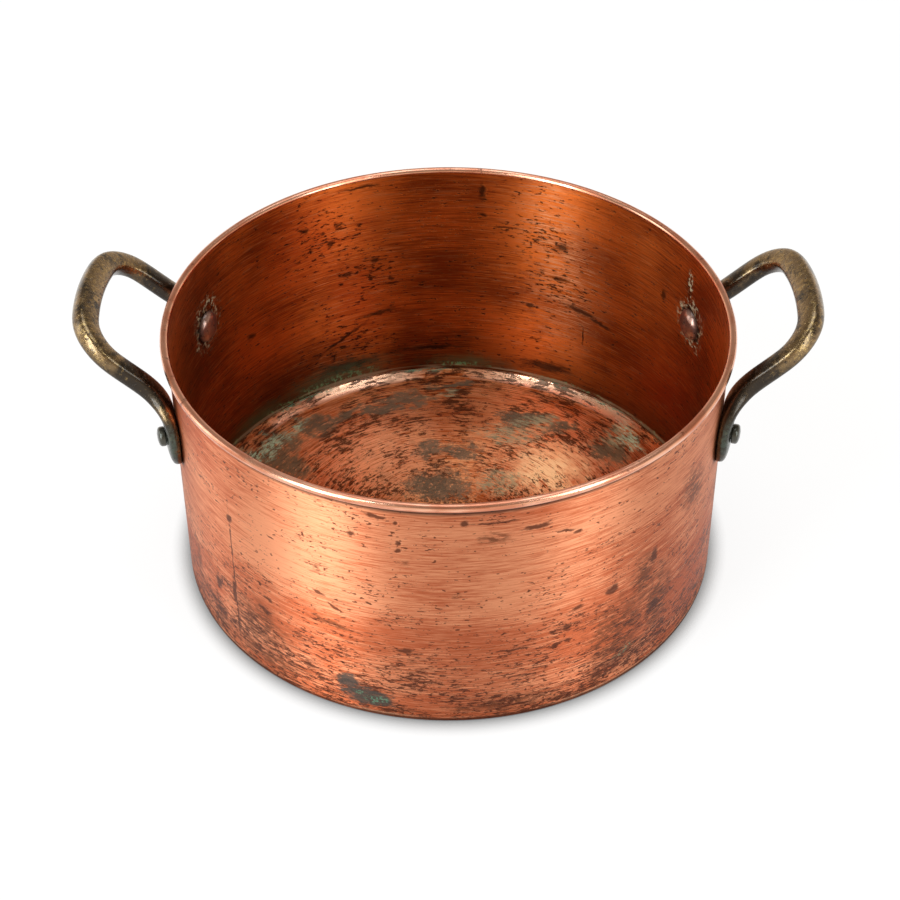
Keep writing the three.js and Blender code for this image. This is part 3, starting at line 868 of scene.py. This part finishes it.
def stained_copper_floor():
    """The pot's floor: brushed in rings, with dark scale, grey-green crust and verdigris."""
    material, tree = new_material("stained_copper_floor")
    place, x, y, _ = in_millimetres(tree)
    flat, radius = from_axis(tree, x, y)
    # Ring coordinates, which are the way from the middle and the distance: patterns run in rings
    way = add(tree, "VectorMath", {0: flat}, operation="NORMALIZE")
    way = add(tree, "VectorMath", {0: way, 1: (RING_STRETCH, RING_STRETCH, 0)}, operation="MULTIPLY")
    outward = add(tree, "CombineXYZ", {2: radius})
    rings = add(tree, "VectorMath", {0: way, 1: outward}, operation="ADD")
    ragged = wandering(tree, flat, 26, 14)

    # The brushing is drawn 0.8 mm wide, coarser than it is, so that it shows
    fine = grain(tree, rings, (13, 13, 0.8), 5, 0.68, 71)
    coarse = grain(tree, rings, (30, 30, 3.5), 3, 0.6, 73)
    broad = grain(tree, place, (45, 45, 45), 3, 0.5, 79)
    fray = grain(tree, rings, (6, 6, 3), 6, 0.75, 81)
    tone = mixed(tree, (fine, 0.8), (coarse, 0.3), (broad, 0.55))
    deeper = patches(tree, tone, 0.66, 0.96)
    finish = lay_over(tree, FLOOR_BRUSHED, FLOOR_DEEP, deeper)
    # Mask of a painted highlight patch on the floor
    highlight_patch = marks(tree, ragged, FLOOR_HIGHLIGHT_PATCH, fray, 0.6)
    # Painted highlights on the cove where the floor turns up, which is also smoother there
    cove = add(tree, "MapRange", {0: radius, 1: 128, 2: 129.6})
    cove_highlight = marks(tree, flat, COVE_HIGHLIGHT_SPOTS, fray, 0.5)
    finish = lay_over(tree, finish, COVE_HIGHLIGHT_FINISH, cove, cove_highlight, 0.9)
    # Red heat stain, brown scale, and pale places between the brushing's dark streaks, partly scoured and
    # partly painted highlight
    red = marks(tree, ragged, FLOOR_RED, fray, 0.7)
    finish = lay_over(tree, finish, FLOOR_HEAT, red, 0.6)
    scale = patches(tree, grain(tree, ragged, (20, 20, 20), 5, 0.65, 83), 0.54, 0.64)
    finish = lay_over(tree, finish, BROWN_TARNISH, scale, 0.4)
    crowd = grain(tree, place, (20, 20, 20), 3, 0.6, 97)
    streaky = patches(tree, fine, 0.68, 0.5)
    pale = marks(tree, ragged, FLOOR_PALE, fray, 0.7)
    finish = lay_over(tree, finish, FLOOR_SCOURED_AND_HIGHLIGHT, pale, streaky, 0.6)
    # Painted highlight: a pale, nearly non-metal patch on the floor
    finish = lay_over(tree, finish, FLOOR_PAINTED_HIGHLIGHT, highlight_patch, streaky, 0.92)
    flecks = grain(tree, rings, (5.5, 5.5, 1.5), 6, 0.75, 89)
    flecks = patches(tree, flecks, 0.77, 0.82, (crowd, 0.5), (highlight_patch, -0.06))
    finish = lay_over(tree, finish, INSIDE_PIT, flecks, 0.8)
    # Burnt-on food, grey-brown and grey-green
    worn = patches(tree, grain(tree, rings, (3, 3, 2), 6, 0.8, 101), 0.34, 0.48)
    grey = marks(tree, ragged, FLOOR_GREY, fray, 0.25)
    finish = lay_over(tree, finish, GREY_CRUST, grey, worn, 0.9)
    green = marks(tree, ragged, FLOOR_GREEN, fray, 0.3)
    broken = patches(tree, grain(tree, rings, (7, 7, 1.4), 6, 0.78, 105), 0.43, 0.55)
    finish = lay_over(tree, finish, RESIDUE, green, broken, 0.8)
    # Verdigris lies along the brazed joint, mostly at the left and the back
    grit = patches(tree, grain(tree, rings, (2.6, 2.6, 1.2), 5, 0.75, 103), 0.46, 0.56)
    salts = marks(tree, ragged, FLOOR_VERDIGRIS, fray, 0.4)
    finish = lay_over(tree, finish, PALE_VERDIGRIS, salts, grit, 0.85)
    joint = add(tree, "MapRange", {0: radius, 1: 132.5, 2: 134})
    patchy = patches(tree, broad, 0.46, 0.56)
    finish = lay_over(tree, finish, VERDIGRIS, joint, patchy, grit, 0.85)
    relief = mixed(tree, (fine, 0.5), (flecks, -1.0), (grey, -0.6))
    finished(tree, finish, relief, 0.09, brushed=0.8)
    return material


def burnt_copper_underside():
    """The underside, browned by the flame and scuffed bright where it drags on the hob."""
    material, tree = new_material("burnt_copper_underside")
    place, x, y, _ = in_millimetres(tree)
    _, radius = from_axis(tree, x, y)
    soot = patches(tree, grain(tree, place, (40, 40, 40), 5, 0.6, 107), 0.4, 0.62)
    finish = lay_over(tree, UNDERSIDE, SOOT, soot)
    scuffs = grain(tree, place, (30, 1.2, 30), 3, 0.6, 109)
    finish = lay_over(tree, finish, SCUFF, patches(tree, scuffs, 0.6, 0.7), 0.5)
    edge = add(tree, "MapRange", {0: radius, 1: 122, 2: 134})
    finish = lay_over(tree, finish, BROWN_TARNISH, edge, 0.6)
    finished(tree, finish, scuffs, 0.04)
    return material


def aged_brass():
    """Sand-cast brass, brown-black with age, rubbed golden on the grips by hands."""
    material, tree = new_material("aged_brass")
    place, x, _, z = in_millimetres(tree)
    # How near a place is to the grip
    across = add(tree, "Math", {0: x}, operation="ABSOLUTE")
    grip = add(tree, "MapRange", {0: across, 1: 146, 2: 164})
    blotch = grain(tree, place, (14, 14, 14), 3, 0.6, 127)
    # The sand's grit is under 0.5 mm: drawn 2 mm, so that it shows
    skin = grain(tree, place, (2.0, 2.0, 2.0), 5, 0.7, 113)
    brown = patches(tree, blotch, 0.48, 0.66, (grip, 0.16))
    finish = lay_over(tree, BRASS_DARK, BRASS_BROWN, brown)
    stains = patches(tree, grain(tree, place, (6, 6, 6), 4, 0.65, 151), 0.54, 0.62)
    finish = lay_over(tree, finish, BRASS_STAIN, stains, 0.65)
    # Gold shows through in specks, most of all on the grips
    gold = patches(tree, skin, 0.68, 0.86, (grip, 0.11), (blotch, 0.2))
    finish = lay_over(tree, finish, BRASS_GOLD, gold, 0.6)
    # Grey-green bloom on the pads, which no hand rubs
    foot = add(tree, "MapRange", {0: z, 1: 112, 2: 98})
    bloom = patches(tree, skin, 0.3, 0.6)
    finish = lay_over(tree, finish, BRASS_BLOOM, foot, bloom, 0.8)
    # Painted shade: faces that point down are painted nearly black
    painted_underside_shade = add(tree, "SeparateXYZ", {0: add(tree, "TexCoord", out="Normal")}, "Z")
    painted_underside_shade = add(tree, "MapRange", {0: painted_underside_shade, 1: 0.15, 2: -0.35})
    finish = lay_over(tree, finish, BRASS_UNDERSIDE_SHADE, painted_underside_shade, 0.8)
    # Small casting holes, filled with dirt
    holes = patches(tree, grain(tree, place, (1.8, 1.8, 1.8), 3, 0.6, 131), 0.6, 0.7)
    finish = lay_over(tree, finish, BRASS_HOLE, holes, 0.8)
    finished(tree, finish, mixed(tree, (skin, 1.0), (holes, -1.0)), 0.22, film=(0.3, 0.1))
    return material


def hammered_rivet():
    """Copper rivet heads: dull pinkish brown, dented, with dark dirt in the dents."""
    material, tree = new_material("hammered_rivet")
    place, x, y, _ = in_millimetres(tree)
    dents = grain(tree, place, (3.5, 3.5, 3.5), 2, 0.5, 137)
    dirt = grain(tree, place, (2.2, 2.2, 2.2), 4, 0.65, 139)
    _, radius = from_axis(tree, x, y)
    finish = lay_over(tree, RIVET_COPPER, RIVET_DIRT, patches(tree, dirt, 0.54, 0.68))
    # Where the inner heads meet the wall they are painted dark, partly dirt and partly painted shade, and
    # the outer heads are nearly black
    seat = add(tree, "MapRange", {0: radius, 1: 133.4, 2: 135.2})
    finish = lay_over(tree, finish, SEAT_DIRT_AND_SHADE, seat, 0.8)
    outside = add(tree, "MapRange", {0: radius, 1: 137, 2: 141})
    finish = lay_over(tree, finish, OUTER_HEAD, outside, 0.9)
    finished(tree, finish, dents, 0.35, film=(0.7, 0.15))
    return material


def drawn_iron_wire():
    """Iron wire inside the rim: grey, drawn through a die, with a little rust."""
    material, tree = new_material("drawn_iron_wire")
    place, *_ = in_millimetres(tree)
    rust = grain(tree, place, (6, 6, 6), 4, 0.6, 149)
    rusty = patches(tree, rust, 0.5, 0.65)
    finish = lay_over(tree, IRON, RUST, rusty)
    finished(tree, finish, rust, 0.05)
    return material


def paint(piece, *materials):
    """Gives the piece these materials instead of its own."""
    piece.data.materials.clear()
    for material in materials:
        piece.data.materials.append(material)


def paint_faces(piece, slot, chosen):
    """Gives one of the piece's materials to the faces whose middle passes the test."""
    for face in piece.data.polygons:
        x, y, z = face.center / MM
        if chosen(math.hypot(x, y), z, face.normal):
            face.material_index = slot


# Camera at the photograph's viewing angle
SENSOR = 36
LENS = 78.0
CAMERA_PLACE = (0.549, -770.87, 697.38)  # millimetres
CAMERA_DOWN = 39.806  # degrees below level
CAMERA_ROLL = -0.253
camera_data = bpy.data.cameras.new("camera")
camera_data.sensor_width = SENSOR
camera_data.lens = LENS
camera = bpy.data.objects.new("camera", camera_data)
bpy.context.scene.collection.objects.link(camera)
camera.matrix_world = (
    Matrix.Translation([part * MM for part in CAMERA_PLACE])
    @ Matrix.Rotation(math.radians(90 - CAMERA_DOWN), 4, "X")
    @ Matrix.Rotation(math.radians(CAMERA_ROLL), 4, "Z")
)
bpy.context.scene.camera = camera

# Pieces
wall = make_wall()
base = make_base()
handle_right = make_handle("handle_bar_right", 1)
handle_left = make_handle("handle_bar_left", -1)
turn = math.radians(HANDLE_TURN)
rivet_places = {
    "rivet_right_back": turn + RIVET_ANGLE,
    "rivet_left_back": math.pi - turn - RIVET_ANGLE,
    "rivet_left_front": math.pi - turn + RIVET_ANGLE,
    "rivet_right_front": turn - RIVET_ANGLE,
}
rivets = {node: make_rivet("head_" + node, angle) for node, angle in rivet_places.items()}

stands_for = {
    "side_wall": wall,
    "base_plate": base,
    "handle_right": handle_right,
    "handle_left": handle_left,
    **rivets,
}
for node, piece in stands_for.items():
    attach(piece, "root")
    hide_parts(node)

# Finishes of the pieces
BEAD_MIDDLE = BEAD_CENTRE[1]
BEAD_FOOT = BEAD_MIDDLE - BEAD_RADIUS
INSIDE_REACH = WALL_INNER + 0.1
UNDERSIDE_REACH = 1.3
LEAN = 0.5  # faces whose normal points up less than this belong to the underside
paint(wall, brushed_copper_side(), tarnished_copper_inside(), polished_copper_rim())
paint_faces(wall, 1, lambda radius, z, normal: radius < INSIDE_REACH)
paint_faces(wall, 2, lambda radius, z, normal: z > BEAD_FOOT and (radius > WALL_OUTER or z > BEAD_MIDDLE))
paint(base, stained_copper_floor(), burnt_copper_underside())
paint_faces(base, 1, lambda radius, z, normal: z < UNDERSIDE_REACH and normal.z < LEAN)
brass = aged_brass()
rivet_copper = hammered_rivet()
for piece in (handle_right, handle_left):
    paint(piece, brass)
for piece in rivets.values():
    paint(piece, rivet_copper)
paint(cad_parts["rim_wire"], drawn_iron_wire())


def rays(tree):
    """Masks of the camera's own rays, and of all the rays that show the white background."""
    camera_ray = add(tree, "LightPath", out="Is Camera Ray")
    seen = camera_ray
    for kind in ("Is Glossy Ray", "Is Transmission Ray"):
        seen = add(tree, "Math", {0: seen, 1: add(tree, "LightPath", out=kind)}, operation="MAXIMUM")
    return camera_ray, seen


# Floor, backdrop and lamps
WHITE = (1, 1, 1, 1)
CREAM = (1.0, 0.89, 0.76, 1)
PALE_GREY = (0.8, 0.8, 0.8, 1)
FLOOR_SIZE = 12  # metres
FLOOR_GLOW = 0.85  # share of the floor that is plain white, the rest takes the lamps' shadows
CONTACT_REACH = 0.0105  # metres, how far the shade round the pot's foot reaches
ROOM_LIGHT = 0.9  # strength of the light that comes from the room
start_fresh()
bpy.ops.mesh.primitive_plane_add(size=FLOOR_SIZE, location=(0, 0, 0))
floor = bpy.context.object
floor.name = "floor"
material, tree = new_material("pale_floor")
_, seen = rays(tree)
lit = add(tree, "BsdfDiffuse", {"Color": PALE_GREY})
# Painted shadow: ambient occlusion darkens the glow in a soft line where the pot meets the floor
near_pot = add(tree, "AmbientOcclusion", {"Distance": CONTACT_REACH}, "AO", samples=8)
painted_contact_shadow = add(tree, "MapRange", {0: near_pot, 1: 0.45, 2: 0.97, 3: 0.15, 4: 1.0})
strength = add(tree, "Math", {0: seen, 1: painted_contact_shadow}, operation="MULTIPLY")
glow = add(tree, "Emission", {"Color": WHITE, "Strength": strength})
share = add(tree, "MixShader", {0: FLOOR_GLOW, 1: lit, 2: glow})
add(tree, "OutputMaterial", {"Surface": share})
paint(floor, material)

world = bpy.data.worlds.new("studio")
bpy.context.scene.world = world
world.use_nodes = True
tree = world.node_tree
tree.nodes.clear()
camera_ray, seen = rays(tree)
# The camera sees white. The pot mirrors cream walls under a dim ceiling
facing = add(tree, "SeparateXYZ", {0: add(tree, "TexCoord", out="Generated")}, "Z")
walls = add(tree, "MapRange", {0: facing, 1: 0.15, 2: 0.5, 3: 1.0, 4: 0.3})
walls = add(tree, "Math", {0: walls, 1: camera_ray}, operation="MAXIMUM")
strength = add(tree, "Mix", {0: seen, 2: ROOM_LIGHT, 3: walls})
colour = add(tree, "Mix", {0: camera_ray, 6: CREAM, 7: WHITE}, 2, data_type="RGBA")
sky = add(tree, "Background", {"Color": colour, "Strength": strength})
add(tree, "OutputWorld", {"Surface": sky})


# Lamps: name, place in metres, width, height, watts. The two tall ones in front make the bright
# bands down the side
SOFTBOXES = (
    ("softbox_left", (-1.05, -1.0, 0.85), 0.6, 1.5, 28),
    ("softbox_right", (1.1, -0.95, 0.85), 0.55, 1.4, 14),
    ("softbox_side", (-1.4, 0.1, 0.55), 0.5, 0.9, 3.5),
    ("softbox_top", (0.1, 0.35, 1.5), 1.0, 0.8, 7.5),
)
DAYLIGHT = (0.82, 0.93, 1.0)
AIM = (0, 0, 0.08)


def softbox(name, place, width, height, power):
    """A rectangular lamp that faces the pot's middle."""
    lamp = bpy.data.lights.new(name, "AREA")
    lamp.shape = "RECTANGLE"
    lamp.size = width
    lamp.size_y = height
    lamp.energy = power
    lamp.color = DAYLIGHT
    made = bpy.data.objects.new(name, lamp)
    bpy.context.scene.collection.objects.link(made)
    made.location = place
    aim = Vector(AIM) - Vector(place)
    made.rotation_euler = aim.to_track_quat("-Z", "Y").to_euler()


for box in SOFTBOXES:
    softbox(*box)

bpy.context.scene.view_settings.view_transform = "Standard"
